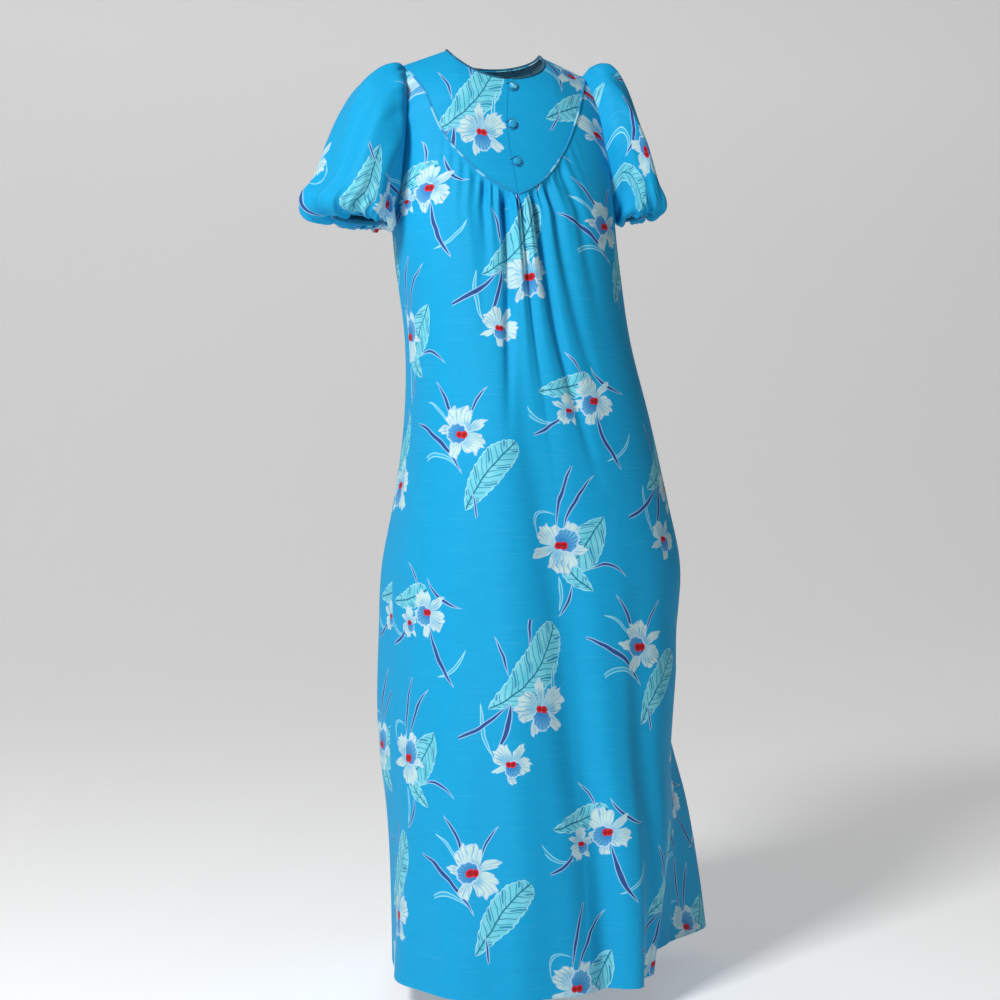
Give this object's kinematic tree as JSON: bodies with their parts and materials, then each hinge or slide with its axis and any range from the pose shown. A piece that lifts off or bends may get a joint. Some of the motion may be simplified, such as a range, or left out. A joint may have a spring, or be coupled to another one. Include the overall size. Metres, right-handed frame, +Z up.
{
  "type": "muumuu dress",
  "caption": "Full-length loose dress with a pointed front yoke, gathers below it, short puff sleeves and covered buttons at the neck slit, hollow as worn.",
  "frame": {"origin": "middle of the neck opening, level with the neck points of the shoulder seams, where the shoulders hold the dress", "axes": "+Z up, +X to the wearer's left, the front faces -Y"},
  "size_m": [0.6981, 0.4986, 1.4102],
  "materials": {
    "printed_cloth": "plain linen-like weave, printed, slight sheen",
    "yoke_cloth": "the same printed cloth, smooth over its facing",
    "cuff_cloth": "narrow band of the same cloth",
    "piping_cloth": "bias strip of the same cloth over a cord",
    "binding_cloth": "narrow dark teal bias binding",
    "button_cloth": "button covered in the same cloth",
    "loop_cord": "thin rolled loop of the same cloth"
  },
  "bodies": {
    "root": {"front_panel": "printed_cloth", "back_right": "printed_cloth", "back_left": "printed_cloth", "yoke_right": "yoke_cloth", "yoke_left": "yoke_cloth", "sleeve_right": "printed_cloth", "sleeve_left": "printed_cloth", "cuff_right": "cuff_cloth", "cuff_left": "cuff_cloth", "piping_right": "piping_cloth", "piping_left": "piping_cloth", "neck_binding": "binding_cloth", "button_1": "button_cloth", "button_2": "button_cloth", "button_3": "button_cloth", "button_loop_1": "loop_cord", "button_loop_2": "loop_cord", "button_loop_3": "loop_cord"}
  },
  "joints": []
}
